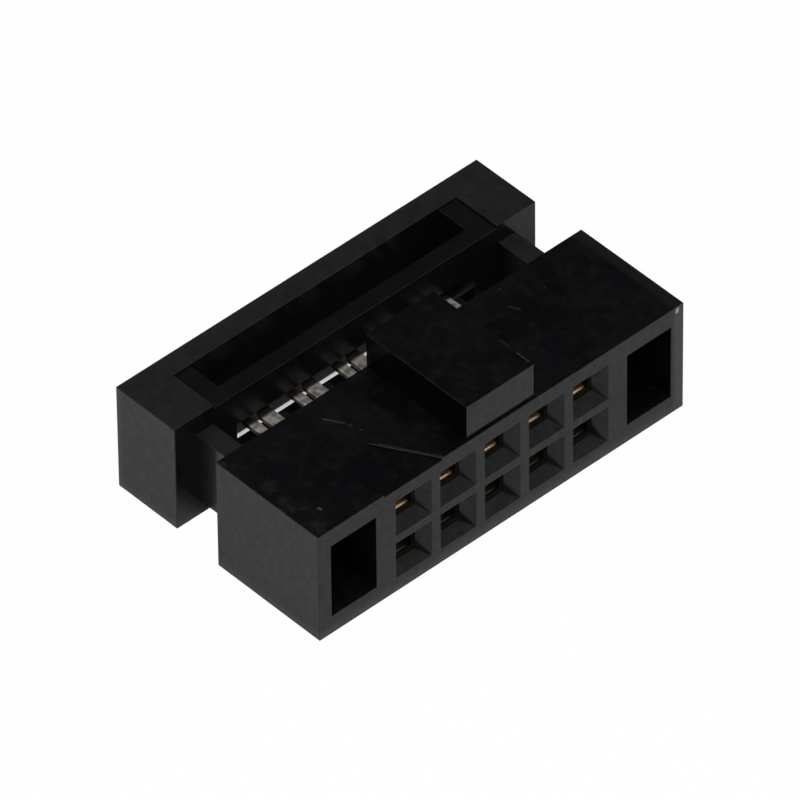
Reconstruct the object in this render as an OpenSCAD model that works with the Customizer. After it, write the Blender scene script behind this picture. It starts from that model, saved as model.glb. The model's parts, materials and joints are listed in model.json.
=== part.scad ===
// Ribbon-cable socket, two rows of contacts, with its press-on cover in the open position.
// The mating face looks towards -Y, the cover is at +Y, and the part lies on its flat underside, key up.
// Inside the modules, y is counted backwards from the mating face; placed() moves the part to its origin.

/* [Contact grid] */
// Distance between neighbouring contacts, and between the two rows
pitch = 2.54; // [2.4:0.02:2.6]

/* [Housing] */
// Length of the housing along the rows
housing_l = 20.95; // [20.5:0.05:24]
// Depth of the housing from the mating face to the rear face
housing_d = 6.3; // [6:0.05:8]
// Height of the housing without its key
housing_h = 5.95; // [5.8:0.05:8]

/* [Lead-in funnels] */
// Width of a funnel at the mating face
mouth_w = 2.04; // [1.4:0.02:2.2]
// Reach of a funnel from its row's axis towards the outside of the housing
mouth_outer = 0.93; // [0.6:0.01:1.1]
// Reach of a funnel from its row's axis towards the other row
mouth_inner = 1.05; // [0.6:0.01:1.1]
// Depth of a funnel
funnel_depth = 0.55; // [0.3:0.05:0.8]
// Width of the hole that a funnel leads to
hole_w = 1.05; // [0.8:0.05:1.3]
// Height of the hole that a funnel leads to
hole_h = 1.15; // [0.8:0.05:1.2]
// Thickness of the front wall behind the funnel
front_web = 0.25; // [0.2:0.05:0.5]

/* [Key and pin-one mark] */
// Width of the polarising key
key_w = 3.85; // [2:0.05:5]
// Height of the key above the housing
key_h = 1.85; // [1:0.05:2.5]
// Distance of the key's front behind the mating face
key_setback = 0.12; // [0.05:0.01:0.6]
// Width of the triangular pin-one mark at the mating face
mark_w = 3.3; // [1:0.1:3.6]
// Length of the mark
mark_l = 2.75; // [1:0.05:4]
// Depth of the mark
mark_depth = 0.12; // [0.05:0.01:0.3]

/* [End cavities] */
// Thickness of the wall between a cavity and the end of the housing
end_wall = 0.725; // [0.6:0.025:0.9]
// Width of a cavity
cavity_w = 2.54; // [2.3:0.02:2.7]
// Height of a cavity
cavity_h = 4; // [3:0.05:4.4]
// Thickness of the rear wall that the latch legs pass through
rear_wall = 1.2; // [0.8:0.05:1.6]

/* [Cover] */
// Depth of the cover without its legs
cover_d = 3.68; // [3.5:0.02:4.5]
// Distance of the cover's ends, top and bottom inside those of the housing
cover_inset = 0.125; // [0.05:0.025:0.3]
// Open gap between the housing and the cover
cover_gap = 2.7; // [2.6:0.05:3.2]
// Way that the cover travels when it is pressed home
press_travel = 1.9; // [1.5:0.05:1.95]
// Length of an end block
end_block_w = 2.25; // [1.5:0.05:2.6]
// Thickness of the back wall
back_wall = 1.12; // [0.8:0.02:1.2]
// Thickness of the pressing wall
press_wall = 0.88; // [0.7:0.02:1]
// Height that the pressing wall lies below the end blocks
wall_step = 0.14; // [0.05:0.01:0.4]

/* [Wire guides] */
// Radius of the grooves that the wires lie in on the housing
groove_r = 0.5; // [0.4:0.02:0.6]
// Depth of the grooves
groove_depth = 0.14; // [0.05:0.01:0.25]
// Distance of the grooves' ends from the top and bottom of the housing
groove_margin = 0.6; // [0.3:0.05:1]

/* [Latch legs] */
// Thickness of a latch leg
leg_t = 1; // [0.7:0.05:1.2]
// Reach of the hook beyond the leg's outer face
hook_reach = 0.42; // [0.3:0.02:0.6]
// Length of the hook's outer land
hook_land = 0.4; // [0.2:0.05:0.8]
// Length of the hook's sloping nose
hook_nose = 1.1; // [0.6:0.05:1.6]
// Distance of the leg's tip behind the mating face when the cover is home
tip_margin = 0.5; // [0.3:0.05:1]

/* [Contacts] */
// Thickness of the contact strip
strip_t = 0.25; // [0.15:0.01:0.3]
// Height of the blade's mid-plane above the middle between the rows
blade_offset = 0.5; // [0.45:0.01:0.6]
// Width of the contact's box section
box_w = 1.6; // [1.2:0.05:1.7]
// Width of a spring leaf
leaf_w = 0.95; // [0.6:0.05:1.1]
// Half of the opening between the two leaves at their crests
leaf_gap = 0.2; // [0.1:0.01:0.3]
// Reach of the insulation-piercing blade from its wire slot towards its own box section
blade_near = 0.82; // [0.55:0.01:0.85]
// Reach of the blade from its wire slot away from its box section
blade_far = 0.6; // [0.5:0.01:0.7]
// Reach of the blade behind the housing
blade_reach = 3.15; // [2.7:0.05:3.25]
// Width of the wire slot in the blade
slot_w = 0.24; // [0.16:0.01:0.4]
// Length of the tapered entry of the wire slot
entry_l = 0.4; // [0.3:0.05:0.8]
// Half width of the tapered entry at the blade's tips
entry_half_w = 0.36; // [0.25:0.01:0.4]
// Bevel at the outer corners of the blade's tips
tip_bevel = 0.15; // [0.05:0.01:0.2]
// Distance of the wire slot's closed end behind the housing
slot_floor = 0.2; // [0.1:0.05:0.6]
// Length of the contact's box section
box_l = 1.6; // [1:0.05:2]
// Distance of the box section in front of the housing's rear face
box_inset = 0.75; // [0.65:0.05:1]
// Depth that the blade's shoulder sits inside the housing's rear face
shoulder_inset = 0.6; // [0.4:0.05:0.65]
// Reach of the retaining barbs beyond the box section
barb = 0.1; // [0.05:0.01:0.15]
// Half length of a barb
barb_l = 0.35; // [0.2:0.05:0.5]
// Distance of a leaf's crest behind its tip
crest_l = 0.9; // [0.6:0.05:1.2]
// Height that a leaf's tip flares away from its crest
leaf_flare = 0.3; // [0.15:0.01:0.32]

/* [Clearances] */
// Room beside the outermost blades in the window of the pressing wall
window_side = 0.52; // [0.3:0.01:0.8]
// Room above and below the blades in the window
window_rise = 0.3; // [0.2:0.025:0.6]
// Length by which the trough passes each end of the window
trough_side = 0.25; // [0.1:0.05:0.5]
// Clearance between the legs and the housing
leg_clearance = 0.15; // [0.06:0.01:0.2]
// Clearance between a contact and the walls of its chamber
contact_clearance = 0.05; // [0.03:0.01:0.1]

/* [Hidden] */
$fn = 48;
columns = 5;
over = 1;
wire_pitch = pitch / 2;
z_mid = housing_h / 2;
row_z = z_mid + pitch / 2;

cover_l = housing_l - 2 * cover_inset;
cover_h = housing_h - 2 * cover_inset;
cover_front = housing_d + cover_gap;
cover_back = cover_front + cover_d;
cover_z = z_mid - cover_h / 2;
mating_y = -cover_back / 2;
trough_front = cover_front + press_wall;
trough_back = cover_back - back_wall;

cavity_out = housing_l / 2 - end_wall;
cavity_back = housing_d - rear_wall;
leg_h = cavity_h - 2 * leg_clearance;
hook_out = cavity_out - leg_clearance;
leg_out = hook_out - hook_reach;
leg_in = leg_out - leg_t;
leg_tip = tip_margin + press_travel;
hook_catch = cavity_back - leg_clearance;
hook_front = hook_catch - hook_land;
tip_chamfer = leg_t / 3;

chamber_front = funnel_depth + front_web;
chamber_w = box_w + 2 * barb + 2 * contact_clearance;
strip_z = z_mid + blade_offset - strip_t / 2;
contact_h = 2 * (row_z - strip_z);
leaf_tip = chamber_front + contact_clearance;
leaf_crest = leaf_tip + crest_l;
box_back = housing_d - box_inset;
box_front = box_back - box_l;
shoulder = housing_d - shoulder_inset;
blade_x = -wire_pitch / 2;
blade_tip = housing_d + blade_reach;
slot_bottom = housing_d + slot_floor;
window_l = 2 * (column_x(columns) - blade_x + blade_far + window_side);
window_h = 2 * (blade_offset + strip_t / 2 + window_rise);
trough_l = window_l + 2 * trough_side;

housing_colour = [0.09, 0.09, 0.1];
cover_colour = [0.12, 0.12, 0.125];
contact_colour = [0.78, 0.68, 0.42];

function column_x(i) = (i - (columns + 1) / 2) * pitch;
function wire_x(i) = (i - columns - 0.5) * wire_pitch;

// Moves the part from the mating face to its origin under the middle of the whole part
module placed() {
    translate([0, mating_y, 0]) children();
}

// Turns the upper row's shape into the lower row's, half a turn about the middle axis
module turned() {
    translate([0, 0, z_mid]) rotate([0, 180, 0]) translate([0, 0, -z_mid]) children();
}

module both_rows() {
    children();
    turned() children();
}

module both_ends() {
    children();
    mirror([1, 0, 0]) children();
}

// Extrudes a profile drawn in (y, z) along the rows, centred on x
module along_rows(length) {
    translate([-length / 2, 0, 0]) rotate([90, 0, 90]) linear_extrude(length) children();
}

// Extrudes a profile drawn in (x, y) upwards, centred on the middle between the rows
module about_middle(height) {
    translate([0, 0, z_mid - height / 2]) linear_extrude(height) children();
}

// Outline of a bent strip through the given points, round at its bends and ends
module strip_outline(points) {
    for (k = [0 : len(points) - 2]) {
        step = points[k + 1] - points[k];
        translate(points[k]) rotate(atan2(step[1], step[0]))
            translate([0, -strip_t / 2]) square([norm(step), strip_t]);
    }
    for (p = points) translate(p) circle(d = strip_t);
}

// Four-sided lead-in funnels: where the tapers across the rows meet the tapers across the columns
module funnels() {
    intersection() {
        for (i = [1 : columns]) linear_extrude(housing_h) funnel_plan(column_x(i));
        both_rows() along_rows(housing_l) funnel_section();
    }
}

module funnel_plan(x) {
    translate([x, 0]) polygon([
        [-mouth_w / 2, -over], [mouth_w / 2, -over], [mouth_w / 2, 0],
        [hole_w / 2, funnel_depth], [-hole_w / 2, funnel_depth], [-mouth_w / 2, 0]]);
}

module funnel_section() {
    translate([0, row_z]) polygon([
        [-over, -mouth_inner], [0, -mouth_inner], [funnel_depth, -hole_h / 2],
        [funnel_depth, hole_h / 2], [0, mouth_outer], [-over, mouth_outer]]);
}

// Chamber of one contact of the upper row, open at the rear, with the hole to its funnel
module chamber(x) {
    hole_l = front_web + over;
    translate([x - hole_w / 2, funnel_depth, row_z - hole_h / 2]) cube([hole_w, hole_l, hole_h]);
    translate([x - chamber_w / 2, chamber_front, strip_z])
        cube([chamber_w, housing_d - chamber_front + over, contact_h + contact_clearance]);
    translate([x + blade_x - blade_far - contact_clearance, shoulder - contact_clearance, strip_z])
        cube([blade_far + blade_near + 2 * contact_clearance, housing_d - shoulder + over,
            strip_t + contact_clearance]);
}

// Cavity at the right end: wide from the front, with a close slot for the leg in the rear wall
module end_cavity() {
    about_middle(cavity_h) {
        translate([cavity_out - cavity_w, -over]) square([cavity_w, cavity_back + over]);
        translate([leg_in - leg_clearance, cavity_back - over])
            square([leg_t + 2 * leg_clearance, rear_wall + 2 * over]);
    }
}

module pin_one_mark() {
    translate([column_x(1), 0, housing_h - mark_depth]) linear_extrude(mark_depth + over)
        polygon([[-mark_w / 2, 0], [-mark_w / 2, -over],
            [mark_w / 2, -over], [mark_w / 2, 0], [0, mark_l]]);
}

// Grooves along the wires in the housing's rear face
module wire_grooves() {
    for (i = [1 : 2 * columns])
        translate([wire_x(i), housing_d + groove_r - groove_depth, groove_margin])
            cylinder(r = groove_r, h = housing_h - 2 * groove_margin);
}

module housing() {
    color(housing_colour) placed() difference() {
        union() {
            translate([-housing_l / 2, 0, 0]) cube([housing_l, housing_d, housing_h]);
            translate([-key_w / 2, key_setback, 0])
                cube([key_w, housing_d - key_setback, housing_h + key_h]);
        }
        funnels();
        both_rows() for (i = [1 : columns]) chamber(column_x(i));
        both_ends() end_cavity();
        pin_one_mark();
        wire_grooves();
    }
}

// Right latch leg in plan: a straight leg with a hook near its tip
module leg_plan() {
    translate([leg_in, leg_tip + tip_chamfer]) square([leg_t, cover_front - leg_tip]);
    polygon([[leg_in + tip_chamfer, leg_tip], [leg_out - tip_chamfer, leg_tip],
        [leg_out, leg_tip + tip_chamfer], [leg_in, leg_tip + tip_chamfer]]);
    polygon([[leg_out, hook_front - hook_nose], [hook_out, hook_front], [hook_out, hook_catch],
        [leg_out, hook_catch], [leg_in, hook_catch]]);
}

// The pressing wall and its ends lie a little below the end blocks, at the top and at the bottom
module wall_steps() {
    step_l = cover_l - 2 * end_block_w;
    both_rows() translate([-step_l / 2, cover_front - over, cover_z + cover_h - wall_step])
        cube([step_l, cover_d - back_wall + over, wall_step + over]);
}

module cover() {
    color(cover_colour) placed() {
        difference() {
            translate([-cover_l / 2, cover_front, cover_z]) cube([cover_l, cover_d, cover_h]);
            wall_steps();
            translate([-trough_l / 2, trough_front, cover_z - over])
                cube([trough_l, trough_back - trough_front, cover_h + 2 * over]);
            translate([-window_l / 2, cover_front - over, z_mid - window_h / 2])
                cube([window_l, press_wall + 2 * over, window_h]);
        }
        both_ends() about_middle(leg_h) leg_plan();
    }
}

// Flat rear part of a contact: the floor of its box and the slotted blade beside it
module blade_plan() {
    difference() {
        union() {
            translate([-box_w / 2, box_front]) square([box_w, shoulder - box_front]);
            translate([0, box_back - barb_l]) polygon([
                [-box_w / 2, barb_l], [-box_w / 2 - barb, 0], [-box_w / 2, -barb_l],
                [box_w / 2, -barb_l], [box_w / 2 + barb, 0], [box_w / 2, barb_l]]);
            translate([blade_x, 0]) polygon([
                [-blade_far, shoulder], [blade_near, shoulder], [blade_near, blade_tip - tip_bevel],
                [blade_near - tip_bevel, blade_tip], [-blade_far + tip_bevel, blade_tip],
                [-blade_far, blade_tip - tip_bevel]]);
        }
        translate([blade_x, slot_bottom]) circle(d = slot_w);
        translate([blade_x - slot_w / 2, slot_bottom]) square([slot_w, blade_tip - slot_bottom]);
        translate([blade_x, blade_tip - entry_l]) polygon([
            [-slot_w / 2, 0], [slot_w / 2, 0], [entry_half_w, entry_l], [-entry_half_w, entry_l]]);
    }
}

// Two opposed spring leaves that take a square post between them
module leaf_pair() {
    root = contact_h / 2 - strip_t / 2;
    crest = leaf_gap + strip_t / 2;
    for (side = [-1, 1]) translate([0, row_z]) strip_outline([
        [box_front + strip_t, side * root],
        [leaf_crest, side * crest],
        [leaf_tip + strip_t / 2, side * (crest + leaf_flare)]]);
}

// Contact of the upper row: leaves, folded box section and blade, stamped from one strip
module contact(x) {
    color(contact_colour) placed() translate([x, 0, 0]) {
        translate([0, 0, strip_z]) linear_extrude(strip_t) blade_plan();
        translate([-box_w / 2, box_front, strip_z + contact_h - strip_t]) cube([box_w, box_l, strip_t]);
        translate([box_w / 2 - strip_t, box_front, strip_z]) cube([strip_t, box_l, contact_h]);
        along_rows(leaf_w) leaf_pair();
    }
}

housing();
cover();
for (i = [1 : columns]) {
    contact(column_x(i));
    turned() contact(-column_x(i));
}
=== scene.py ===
"""Looks of the ribbon-cable socket.

Black moulded housing and cover, plated contacts, white table and studio light.
"""

import json
import math

import bpy
from mathutils import Matrix, Vector

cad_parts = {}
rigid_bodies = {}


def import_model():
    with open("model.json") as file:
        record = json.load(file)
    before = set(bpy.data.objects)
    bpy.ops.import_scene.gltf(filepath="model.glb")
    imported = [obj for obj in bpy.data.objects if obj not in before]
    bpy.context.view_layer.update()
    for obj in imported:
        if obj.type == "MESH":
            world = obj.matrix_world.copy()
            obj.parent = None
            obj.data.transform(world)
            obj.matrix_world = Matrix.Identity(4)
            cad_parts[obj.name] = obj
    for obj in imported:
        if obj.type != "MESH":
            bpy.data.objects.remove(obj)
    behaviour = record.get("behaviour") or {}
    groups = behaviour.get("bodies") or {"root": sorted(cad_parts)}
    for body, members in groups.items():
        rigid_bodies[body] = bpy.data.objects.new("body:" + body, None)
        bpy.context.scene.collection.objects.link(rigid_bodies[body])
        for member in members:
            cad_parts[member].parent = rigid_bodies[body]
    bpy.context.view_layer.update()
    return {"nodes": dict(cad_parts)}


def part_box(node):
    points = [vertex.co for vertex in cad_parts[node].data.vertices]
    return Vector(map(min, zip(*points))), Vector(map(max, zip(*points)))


MM = 0.001

# Photograph's view: angles in degrees, lengths in metres
VIEW_AZIMUTH = -42.326
VIEW_ELEVATION = 43.222
VIEW_ROLL = 0.667
VIEW_DISTANCE = 0.5954
VIEW_TARGET = Vector((0, -0.34 * MM, 3.0 * MM))
VIEW_WIDTH = 33.76 * MM
TARGET_RIGHT = 0.230 * MM
TARGET_ABOVE = 0.028 * MM
CLIP_START = 0.05

# Lamps: name, azimuth and elevation in degrees, distance and size in metres, share of the plain light
LAMPS = (
    ("overhead", -35, 74, 0.6, 0.35, 0.40),
    ("front_left", -62, 30, 0.6, 0.4, 0.19),
    ("camera_side", -36, 48, 0.6, 0.15, 0.19),
    ("front_right", 42, 30, 0.6, 0.7, 0.21),
    ("back", 172, 50, 0.6, 0.3, 0.05),
)
# Energy at which a lamp one metre away lights a white surface to plain white
PLAIN_LIGHT = math.pi ** 2
WORLD_COLOUR = (0.05, 0.052, 0.06, 1)

# Table: share of plain white that the camera sees, in the open, in a painted shade under the cover and in
# mirror images
FLOOR_COLOUR = (0.95, 0.95, 0.95, 1)
FLOOR_SIZE = 3.0
FLOOR_WHITE = 0.98
FLOOR_WHITE_IN_PAINTED_SHADE = 0.45
FLOOR_SHEEN = 0.05
# Place of the painted shade under the cover at rest, from the corners of the cover's box
UNDER_COVER_LOW = Vector((3 * MM, 2 * MM, 0))
UNDER_COVER_HIGH = Vector((-3 * MM, -0.5 * MM, 0))
UNDER_COVER_FADE = 0.4 * MM

# Rounds on the outer edges: angles in degrees, widths in metres
EDGE_ANGLE = 25
FLAT_ANGLE = 0.5
WELD_GAP = 0.0005 * MM
ROUND_SEGMENTS = 2
HOUSING_ROUND = 0.02 * MM
COVER_ROUND = 0.03 * MM
CONTACT_ROUND = 0.04 * MM

# Parts of a noise's values that are spread over a pattern's whole range
WIDE = (0.3, 0.7)
MIDDLE = (0.35, 0.65)
UPPER = (0.45, 0.7)
LOWER = (0.2, 0.5)
SCUFFED = (0.35, 0.6)

# Black plastic: colours, lowest and highest roughness, sizes of the patterns
HOUSING_DARK = (0.0022, 0.0022, 0.0027, 1)
HOUSING_LIGHT = (0.0040, 0.0040, 0.0047, 1)
HOUSING_ROUGHNESS = (0.16, 0.20)
COVER_DARK = (0.0043, 0.0043, 0.0044, 1)
COVER_LIGHT = (0.0060, 0.0060, 0.0061, 1)
COVER_ROUGHNESS = (0.16, 0.22)
CLOUD_SIZE = 2.5 * MM
SKIN_SIZE = 0.35 * MM
SKIN_LEVEL = (0.25, 0.33)
GRAIN_SIZE = 0.05 * MM
GRAIN_STRENGTH = 0.05
GRAIN_DEPTH = 0.01 * MM
# Z of the normal at which a face starts to count as facing up, and counts in full
FACING_UP = (0.5, 0.9)

# Painted light: bands lighter where the faces mirror the white table, near the bottoms, at the housing's
# right end, on the cover's legs and at its rear; axis, two places along it, and the share of the painted
# light colour at each
PAINTED_LIGHT_COLOUR = (0.032, 0.032, 0.032, 1)
PAINTED_LIGHT_ON_TOPS = 0.25
PAINTED_LIGHT_HEIGHT = 0.7 * MM
PAINTED_LIGHT_REAR = 0.5 * MM
PAINTED_LIGHT_RIGHT_END = ("X", 9.78 * MM, 10.1 * MM, 0.0, 1.0)
PAINTED_LIGHT_LEGS = ("Y", 0.9 * MM, 2.6 * MM, 0.75, 0.0)

# Dust on the housing's top, most of it near the left end
DUST_COLOUR = (0.013, 0.013, 0.013, 1)
DUST_SIZE = 0.7 * MM
DUST_REACH = 1.6 * MM
DUST_ELSEWHERE = 0.3

# Satin faces of the cover: its tops, and a share on the pressing wall, which also shines less
SATIN_COLOUR = (0.0145, 0.0145, 0.0147, 1)
SATIN_ROUGHNESS = 0.25
SATIN_DEPTH = 0.06 * MM
MOTTLE_SIZE = 0.6 * MM
MOTTLE_LEVEL = (0.45, 0.95)
LEG_TOP = 4.825 * MM
PRESSING_WALL = 2.66 * MM
WALL_HALF_LENGTH = 8.1 * MM
WALL_FACING = (-0.9, -0.5)
WALL_SATIN = 0.25
WALL_SHINE = 0.42
FACE_BAND = 0.02 * MM

# Contact chambers: matt walls painted in an olive tone for light bounced off the gold contacts; lengths from
# the middle, the mating face, the rear face and the floor
CHAMBER_BOUNCE_COLOUR = (0.018, 0.0165, 0.0105, 1)
CHAMBER_ROUGHNESS = 0.3
CHAMBER_SHINE = 0.15
CHAMBER_FADE = 0.05 * MM
CHAMBER_HALF_LENGTH = 6.3 * MM
CHAMBER_FRONT = 0.6 * MM
CHAMBER_REAR = 1.0 * MM
CHAMBER_BOTTOM = 0.5 * MM
CHAMBER_TOP = 5.5 * MM

# Flakes that break up the scratches and the painted highlights
FLAKE_SIZE = 0.1 * MM
# Scratches, chips, lighter lines along the key's right top edge and a painted highlight along the edge of the
# pin-1 mark on the housing: both ends and width in millimetres, and tone
HOUSING_TOP = 5.95
KEY_TOP = 7.8
MATING_FACE = -6.34
SCRATCHES_AND_HIGHLIGHTS = (
    # Painted highlight along the edge of the pin-1 mark
    ((-4.77, -3.91, HOUSING_TOP), (-3.37, -6.28, HOUSING_TOP), 0.06, 0.024),
    ((-5.44, -1.18, HOUSING_TOP), (-4.97, -1.96, HOUSING_TOP), 0.07, 0.034),
    ((-4.90, -2.19, HOUSING_TOP), (-4.86, -2.31, HOUSING_TOP), 0.06, 0.024),
    ((-4.74, -2.70, HOUSING_TOP), (-4.71, -2.79, HOUSING_TOP), 0.05, 0.024),
    ((4.93, -1.45, HOUSING_TOP), (5.18, -1.89, HOUSING_TOP), 0.05, 0.024),
    ((5.42, -0.37, HOUSING_TOP), (5.42, -0.40, HOUSING_TOP), 0.06, 0.028),
    ((6.89, -1.58, HOUSING_TOP), (6.89, -1.63, HOUSING_TOP), 0.06, 0.016),
    ((-9.23, -5.04, HOUSING_TOP), (-9.22, -5.13, HOUSING_TOP), 0.10, 0.060),
    # Lighter lines along the key's right top edge
    ((1.91, -4.17, KEY_TOP), (1.91, -4.75, KEY_TOP), 0.05, 0.026),
    ((1.91, -5.24, KEY_TOP), (1.91, -5.95, KEY_TOP), 0.07, 0.045),
    ((10.11, MATING_FACE, 5.79), (10.09, MATING_FACE, 5.67), 0.12, 0.350),
)

# Contact metal: darkest and lightest colour of each finish, among them painted shade on the lower row and on
# the blades' far parts, and a painted highlight on the upper row's tips
FINISHES = {
    # Painted shade: the lower row's gold, darker than the upper row's
    "shaded_gold": ((0.060, 0.045, 0.030, 1), (0.105, 0.083, 0.060, 1)),
    "amber": ((0.50, 0.20, 0.035, 1), (0.66, 0.29, 0.065, 1)),
    # Painted highlight on the upper row's tips
    "highlight_gold": ((0.99, 0.70, 0.45, 1), (1.0, 0.82, 0.61, 1)),
    "scuffed_tin": ((0.36, 0.33, 0.28, 1), (0.50, 0.47, 0.42, 1)),
    "tin": ((0.72, 0.69, 0.63, 1), (0.90, 0.87, 0.83, 1)),
    # Painted shade on the blades beyond their lit band and on the lower row
    "shaded_blade": ((0.045, 0.033, 0.026, 1), (0.08, 0.06, 0.046, 1)),
}
# Drawing streaks along the strip, and scuffs on the tin
STREAK_SIZE = 0.04 * MM
STREAK_STRETCH = (1, 0.05, 1)
STREAK_STRENGTH = 0.2
STREAK_DEPTH = 0.005 * MM
SCUFF_SIZE = 0.25 * MM
LEAF_ROUGHNESS = (0.40, 0.50)
BLADE_ROUGHNESS = (0.46, 0.66)
# Height where the upper row starts, below which the metal is painted in shade, end of the painted highlight
# on the tips from the mating face, and places of the blade and of its lit tin band from the rear face, beyond
# which the blade is painted in shade
UPPER_START = (2.6 * MM, 3.3 * MM)
HIGHLIGHT_END = (0.89 * MM, 0.98 * MM)
BLADE_START = (-2.2 * MM, -1.6 * MM)
LIT_TIN_START = 1.85 * MM
LIT_TIN_END = 2.42 * MM
LIT_TIN_FADE = 0.2 * MM


def put(tree, socket, value):
    """Set a socket to a value, or link another node's socket to it."""
    if isinstance(value, bpy.types.NodeSocket):
        tree.links.new(value, socket)
    else:
        socket.default_value = value


def add(tree, kind, settings=None, **inputs):
    """A new shader node, with its settings and its inputs given as values or as other nodes' sockets."""
    made = tree.nodes.new("ShaderNode" + kind)
    for name, value in (settings or {}).items():
        setattr(made, name, value)
    for name, value in inputs.items():
        put(tree, made.inputs[name.replace("_", " ")], value)
    return made


def computed(tree, kind, operation, *values):
    """A new node of a kind that computes, with its inputs in order."""
    made = add(tree, kind, {"operation": operation})
    for socket, value in zip(made.inputs, values):
        put(tree, socket, value)
    return made.outputs


def maths(tree, operation, *values):
    return computed(tree, "Math", operation, *values)[0]


def vectors(tree, operation, output, *values):
    return computed(tree, "VectorMath", operation, *values)[output]


def product(tree, first, *others):
    """All the values multiplied."""
    for value in others:
        first = maths(tree, "MULTIPLY", first, value)
    return first


def mixed(tree, factor, a, b):
    """Colour between a and b."""
    made = add(tree, "Mix", {"data_type": "RGBA"})
    for index, value in ((0, factor), (6, a), (7, b)):
        put(tree, made.inputs[index], value)
    return made.outputs[2]


def ranged(tree, value, low, high, to_low=0.0, to_high=1.0):
    """Value brought from one range to another, smooth at both ends."""
    made = add(tree, "MapRange", {"interpolation_type": "SMOOTHSTEP"}, Value=value,
               From_Min=low, From_Max=high, To_Min=to_low, To_Max=to_high)
    return made.outputs["Result"]


def faded(tree, share, without, full):
    """Number between the one without a share and the one at the full share."""
    return ranged(tree, share, 0.0, 1.0, without, full)


def between(tree, value, low, high, soft):
    """1 from low to high, fading to 0 over a soft length at both ends."""
    return product(tree, ranged(tree, value, low - soft, low),
                   ranged(tree, value, high, high + soft, 1.0, 0.0))


def at_face(tree, value, place):
    """1 in a thin band about a flat face's place."""
    return between(tree, value, place - FACE_BAND, place + FACE_BAND, FACE_BAND)


def separated(tree, vector):
    """X, Y and Z of a vector, by name."""
    return add(tree, "SeparateXYZ", Vector=vector).outputs


def noise(tree, place, size, detail=2.0):
    """Noise whose features are about size metres across."""
    return add(tree, "TexNoise", Vector=place, Scale=1 / size, Detail=detail).outputs["Fac"]


def line_mask(tree, place, start, end, width):
    """1 on a short line between two places, 0 away from it."""
    whole = end - start
    along = whole.normalized()
    rel = vectors(tree, "SUBTRACT", "Vector", place, start)
    far = maths(tree, "MINIMUM", vectors(tree, "DOT_PRODUCT", "Value", rel, along), whole.length)
    foot = add(tree, "VectorMath", {"operation": "SCALE"}, Vector=along,
               Scale=maths(tree, "MAXIMUM", far, 0.0))
    gap = vectors(tree, "DISTANCE", "Value", rel, foot.outputs["Vector"])
    return ranged(tree, gap, width / 2, width, 1.0, 0.0)


def new_material(name):
    material = bpy.data.materials.new(name)
    material.use_nodes = True
    return material, material.node_tree, material.node_tree.nodes["Principled BSDF"]


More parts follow.
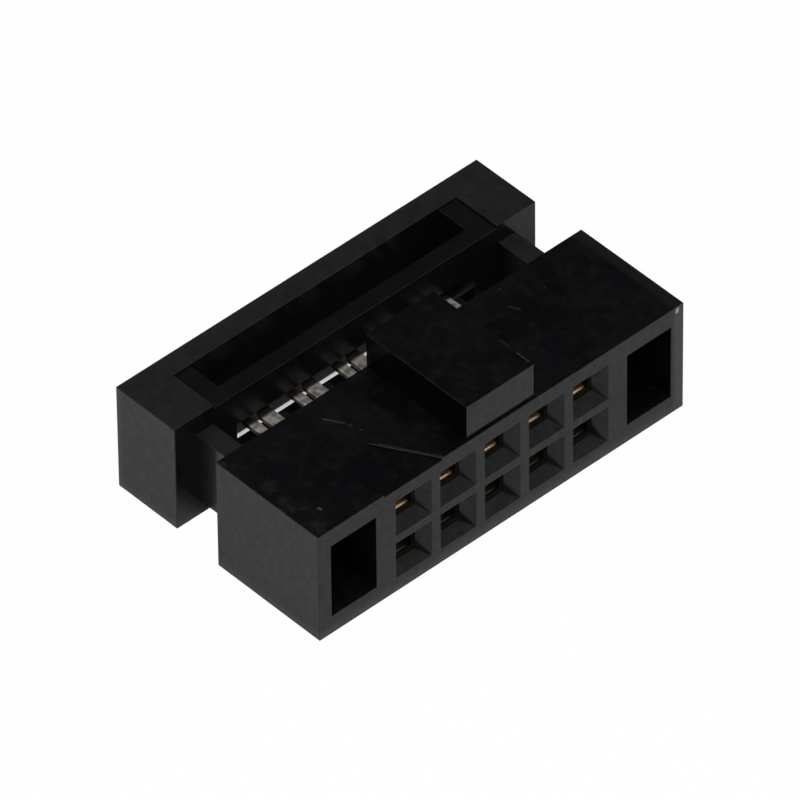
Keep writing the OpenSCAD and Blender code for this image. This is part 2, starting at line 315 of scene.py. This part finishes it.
def plastic(name, dark, light, roughness, painted_light, scratches_and_highlights=(), dust_end=None, satin_top=None, chambers=None):
    """Black moulded plastic: cloudy tone and gloss, a mottled skin, fine mould grain and painted light in
    bands where the faces mirror the white table.

    It can have scratches, chips and painted highlights, dust that gathers at one end along X, satin faces
    with the tops at one height, and chambers between two corners, with matt walls painted in an olive tone
    for light bounced off the gold contacts.
    """
    material, tree, shader = new_material(name)
    place = add(tree, "TexCoord").outputs["Object"]
    axes = separated(tree, place)
    facing = separated(tree, add(tree, "NewGeometry").outputs["Normal"])
    upward = ranged(tree, facing["Z"], *FACING_UP)
    cloud = noise(tree, place, CLOUD_SIZE, detail=4)
    tone = mixed(tree, ranged(tree, cloud, *MIDDLE), dark, light)
    gloss = ranged(tree, cloud, *WIDE, *roughness)
    skin = ranged(tree, noise(tree, place, SKIN_SIZE, detail=4), *WIDE, *SKIN_LEVEL)

    # Painted light: bands lighter where the faces mirror the white table
    for axis, low, high, at_low, at_high in painted_light:
        share = product(tree, ranged(tree, axes[axis], low, high, at_low, at_high),
                        faded(tree, upward, 1.0, PAINTED_LIGHT_ON_TOPS))
        tone = mixed(tree, share, tone, PAINTED_LIGHT_COLOUR)

    # Scratches and chips in their own tones, and painted highlights along edges
    for start, end, width, mark_tone in scratches_and_highlights:
        flakes = ranged(tree, noise(tree, place, FLAKE_SIZE), *LOWER)
        share = product(tree, line_mask(tree, place, start, end, width), flakes)
        tone = mixed(tree, share, tone, (mark_tone, mark_tone, mark_tone, 1))

    if dust_end is not None:
        near = ranged(tree, axes["X"], dust_end, dust_end + DUST_REACH, 1.0, DUST_ELSEWHERE)
        patches = ranged(tree, noise(tree, place, DUST_SIZE, detail=5), *UPPER)
        tone = mixed(tree, product(tree, upward, near, patches), tone, DUST_COLOUR)

    if satin_top is not None:
        high = maths(tree, "ADD", ranged(tree, axes["Z"], satin_top - SATIN_DEPTH, satin_top),
                     at_face(tree, axes["Z"], LEG_TOP))
        wall = product(tree, at_face(tree, axes["Y"], PRESSING_WALL),
                       between(tree, axes["X"], -WALL_HALF_LENGTH, WALL_HALF_LENGTH, FACE_BAND),
                       ranged(tree, facing["Y"], *WALL_FACING, 1.0, 0.0))
        satin = maths(tree, "MULTIPLY_ADD", wall, WALL_SATIN, product(tree, upward, high))
        mottle = ranged(tree, noise(tree, place, MOTTLE_SIZE, detail=3), *WIDE, *MOTTLE_LEVEL)
        tone = mixed(tree, product(tree, satin, mottle), tone, SATIN_COLOUR)
        gloss = maths(tree, "MULTIPLY_ADD", satin, SATIN_ROUGHNESS, gloss)
        skin = product(tree, skin, faded(tree, wall, 1.0, WALL_SHINE))

    if chambers:
        inside = product(tree, *(between(tree, axes[axis], low, high, CHAMBER_FADE)
                                 for axis, low, high in zip("XYZ", *chambers)))
        # Painted light: olive tone on the chamber walls for light bounced off the gold contacts
        tone = mixed(tree, inside, tone, CHAMBER_BOUNCE_COLOUR)
        gloss = maths(tree, "MULTIPLY_ADD", inside, CHAMBER_ROUGHNESS, gloss)
        skin = product(tree, skin, faded(tree, inside, 1.0, CHAMBER_SHINE))

    grain = noise(tree, place, GRAIN_SIZE)
    bump = add(tree, "Bump", Height=grain, Strength=GRAIN_STRENGTH, Distance=GRAIN_DEPTH)
    put(tree, shader.inputs["Base Color"], tone)
    put(tree, shader.inputs["Roughness"], gloss)
    put(tree, shader.inputs["Specular IOR Level"], skin)
    put(tree, shader.inputs["Normal"], bump.outputs["Normal"])
    return material


def plated_metal(name, front_face, rear_face):
    """Spring strip: amber gold leaves with a painted highlight on the upper row's tips and painted shade on
    the lower row, and a tin-plated blade painted in brown shade beyond its lit band and on the lower row.
    """
    material, tree, shader = new_material(name)
    place = add(tree, "TexCoord").outputs["Object"]
    axes = separated(tree, place)
    upper = ranged(tree, axes["Z"], *UPPER_START)
    tip = ranged(tree, axes["Y"], *(front_face + end for end in HIGHLIGHT_END), 1.0, 0.0)
    at_blade = ranged(tree, axes["Y"], *(rear_face + start for start in BLADE_START))
    # Lit tin band of the upper row's blades; beyond it, and on the lower row, the blade is painted in shade
    plated = between(tree, axes["Y"], rear_face + LIT_TIN_START, rear_face + LIT_TIN_END, LIT_TIN_FADE)
    along = add(tree, "Mapping", Vector=place, Scale=STREAK_STRETCH).outputs["Vector"]
    streaks = noise(tree, along, STREAK_SIZE, detail=3)
    scuffs = ranged(tree, noise(tree, place, SCUFF_SIZE, detail=3), *SCUFFED)

    colour = {finish: mixed(tree, streaks, *pair) for finish, pair in FINISHES.items()}
    # Painted shade on the lower row's gold, and a painted highlight on the upper row's tips over amber gold
    gold = mixed(tree, upper, colour["shaded_gold"], mixed(tree, tip, colour["amber"], colour["highlight_gold"]))
    tin = mixed(tree, scuffs, colour["scuffed_tin"], colour["tin"])
    # Painted shade: brown on the blade outside the upper row's lit tin band
    blade = mixed(tree, product(tree, plated, upper), colour["shaded_blade"], tin)
    roughness = faded(tree, at_blade, ranged(tree, streaks, *WIDE, *LEAF_ROUGHNESS),
                      ranged(tree, streaks, *WIDE, *BLADE_ROUGHNESS))
    bump = add(tree, "Bump", Height=streaks, Strength=STREAK_STRENGTH, Distance=STREAK_DEPTH)
    put(tree, shader.inputs["Base Color"], mixed(tree, at_blade, gold, blade))
    put(tree, shader.inputs["Metallic"], 1.0)
    put(tree, shader.inputs["Roughness"], roughness)
    put(tree, shader.inputs["Normal"], bump.outputs["Normal"])
    return material


def floor_material(low, high):
    """White table: white to the camera, partly so in mirror images, and matt where it takes the shadow.

    Between the two corners, under the cover at rest, less white is let in: a painted shade that stays put, in
    which more of the real shadow shows.
    """
    material, tree, _ = new_material("white_table")
    tree.nodes.clear()
    path = add(tree, "LightPath").outputs
    axes = separated(tree, add(tree, "TexCoord").outputs["Object"])
    # Painted shade: less white under the cover, fixed in place
    under = product(tree, between(tree, axes["X"], low.x, high.x, UNDER_COVER_FADE),
                    between(tree, axes["Y"], low.y, high.y, UNDER_COVER_FADE))
    seen = product(tree, path["Is Camera Ray"], faded(tree, under, FLOOR_WHITE, FLOOR_WHITE_IN_PAINTED_SHADE))
    mirrored = product(tree, path["Is Glossy Ray"], FLOOR_SHEEN)
    matt = add(tree, "BsdfDiffuse", Color=FLOOR_COLOUR)
    white = add(tree, "Emission", Color=(1, 1, 1, 1), Strength=1.0)
    share = maths(tree, "ADD", seen, mirrored)
    mix = add(tree, "MixShader")
    for socket, value in zip(mix.inputs, (share, matt.outputs[0], white.outputs[0])):
        put(tree, socket, value)
    add(tree, "OutputMaterial", Surface=mix.outputs[0])
    return material


def make_floor(low, high):
    bpy.ops.mesh.primitive_plane_add(size=FLOOR_SIZE)
    floor = bpy.context.object
    floor.name = "table_top"
    floor.data.materials.append(floor_material(low, high))


def direction(azimuth, elevation):
    """Unit vector from the object towards a place seen at these angles, azimuth 0 being the front."""
    a = math.radians(azimuth)
    e = math.radians(elevation)
    return Vector((math.sin(a) * math.cos(e), -math.cos(a) * math.cos(e), math.sin(e)))


def make_lamps():
    for name, azimuth, elevation, distance, size, share in LAMPS:
        lamp = bpy.data.lights.new(name, "AREA")
        lamp.size = size
        lamp.energy = share * PLAIN_LIGHT * distance ** 2
        holder = bpy.data.objects.new(name, lamp)
        towards = direction(azimuth, elevation)
        holder.location = towards * distance
        holder.rotation_euler = towards.to_track_quat("Z", "Y").to_euler()
        bpy.context.scene.collection.objects.link(holder)


def make_world():
    world = bpy.data.worlds.new("studio")
    world.use_nodes = True
    world.node_tree.nodes["Background"].inputs["Color"].default_value = WORLD_COLOUR
    bpy.context.scene.world = world


def make_camera():
    back = direction(VIEW_AZIMUTH, VIEW_ELEVATION)
    level = Vector((0, 0, 1)).cross(back).normalized()
    upright = back.cross(level)
    roll = math.radians(VIEW_ROLL)
    right = level * math.cos(roll) - upright * math.sin(roll)
    up = level * math.sin(roll) + upright * math.cos(roll)
    centre = VIEW_TARGET - right * TARGET_RIGHT - up * TARGET_ABOVE
    place = centre + back * VIEW_DISTANCE
    camera = bpy.data.cameras.new("photo_view")
    camera.lens = camera.sensor_width * VIEW_DISTANCE / VIEW_WIDTH
    camera.clip_start = CLIP_START
    holder = bpy.data.objects.new("photo_view", camera)
    holder.matrix_world = Matrix((
        (right.x, up.x, back.x, place.x),
        (right.y, up.y, back.y, place.y),
        (right.z, up.z, back.z, place.z),
        (0, 0, 0, 1)))
    bpy.context.scene.collection.objects.link(holder)
    bpy.context.scene.camera = holder


def outer_edges():
    """Node group that picks the sharp outer edges, which are the ones that get rounds."""
    tree = bpy.data.node_groups.new("outer_edges", "GeometryNodeTree")
    tree.interface.new_socket("Geometry", in_out="INPUT", socket_type="NodeSocketGeometry")
    tree.interface.new_socket("Geometry", in_out="OUTPUT", socket_type="NodeSocketGeometry")
    start = tree.nodes.new("NodeGroupInput")
    end = tree.nodes.new("NodeGroupOutput")
    turn = tree.nodes.new("GeometryNodeInputMeshEdgeAngle").outputs["Signed Angle"]
    store = tree.nodes.new("GeometryNodeStoreNamedAttribute")
    store.data_type = "FLOAT"
    store.domain = "EDGE"
    store.inputs["Name"].default_value = "bevel_weight_edge"
    tree.links.new(start.outputs["Geometry"], store.inputs["Geometry"])
    tree.links.new(maths(tree, "GREATER_THAN", turn, math.radians(EDGE_ANGLE)), store.inputs["Value"])
    tree.links.new(store.outputs["Geometry"], end.inputs["Geometry"])
    return tree


def dress(part, material):
    part.data.materials.clear()
    part.data.materials.append(material)


def soften_edges(part, width, edge_picker):
    """Small rounds on the outer edges, on top of the CAD mesh."""
    weld = part.modifiers.new("weld", "WELD")
    weld.merge_threshold = WELD_GAP
    flat = part.modifiers.new("flat_faces", "DECIMATE")
    flat.decimate_type = "DISSOLVE"
    flat.angle_limit = math.radians(FLAT_ANGLE)
    pick = part.modifiers.new("outer_edges", "NODES")
    pick.node_group = edge_picker
    bevel = part.modifiers.new("edge_rounds", "BEVEL")
    bevel.width = width
    bevel.segments = ROUND_SEGMENTS
    bevel.limit_method = "WEIGHT"
    bevel.use_clamp_overlap = False


for leftover in list(bpy.data.objects):
    bpy.data.objects.remove(leftover)
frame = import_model()
nodes = frame["nodes"]

cover_low, cover_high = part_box("cover")
housing_low, housing_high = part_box("housing")
housing_black = plastic(
    "housing_plastic", HOUSING_DARK, HOUSING_LIGHT, HOUSING_ROUGHNESS,
    painted_light=(("Z", 0.0, PAINTED_LIGHT_HEIGHT, 1.0, 0.0), PAINTED_LIGHT_RIGHT_END),
    scratches_and_highlights=[(Vector(start) * MM, Vector(end) * MM, width * MM, mark_tone)
               for start, end, width, mark_tone in SCRATCHES_AND_HIGHLIGHTS],
    dust_end=housing_low.x,
    chambers=((-CHAMBER_HALF_LENGTH, housing_low.y + CHAMBER_FRONT, CHAMBER_BOTTOM),
              (CHAMBER_HALF_LENGTH, housing_high.y - CHAMBER_REAR, CHAMBER_TOP)))
cover_black = plastic(
    "cover_plastic", COVER_DARK, COVER_LIGHT, COVER_ROUGHNESS,
    painted_light=(("Z", cover_low.z, cover_low.z + PAINTED_LIGHT_HEIGHT, 1.0, 0.0),
            ("Y", cover_high.y - PAINTED_LIGHT_REAR, cover_high.y, 0.0, 1.0), PAINTED_LIGHT_LEGS),
    satin_top=cover_high.z)
contact_plating = plated_metal("contact_metal", housing_low.y, housing_high.y)

looks = {"housing": (housing_black, HOUSING_ROUND), "cover": (cover_black, COVER_ROUND)}
edge_picker = outer_edges()
for name, part in nodes.items():
    material, width = looks.get(name, (contact_plating, CONTACT_ROUND))
    dress(part, material)
    soften_edges(part, width, edge_picker)

make_floor(cover_low + UNDER_COVER_LOW, cover_high + UNDER_COVER_HIGH)
make_lamps()
make_world()
make_camera()
bpy.context.scene.view_settings.view_transform = "Standard"
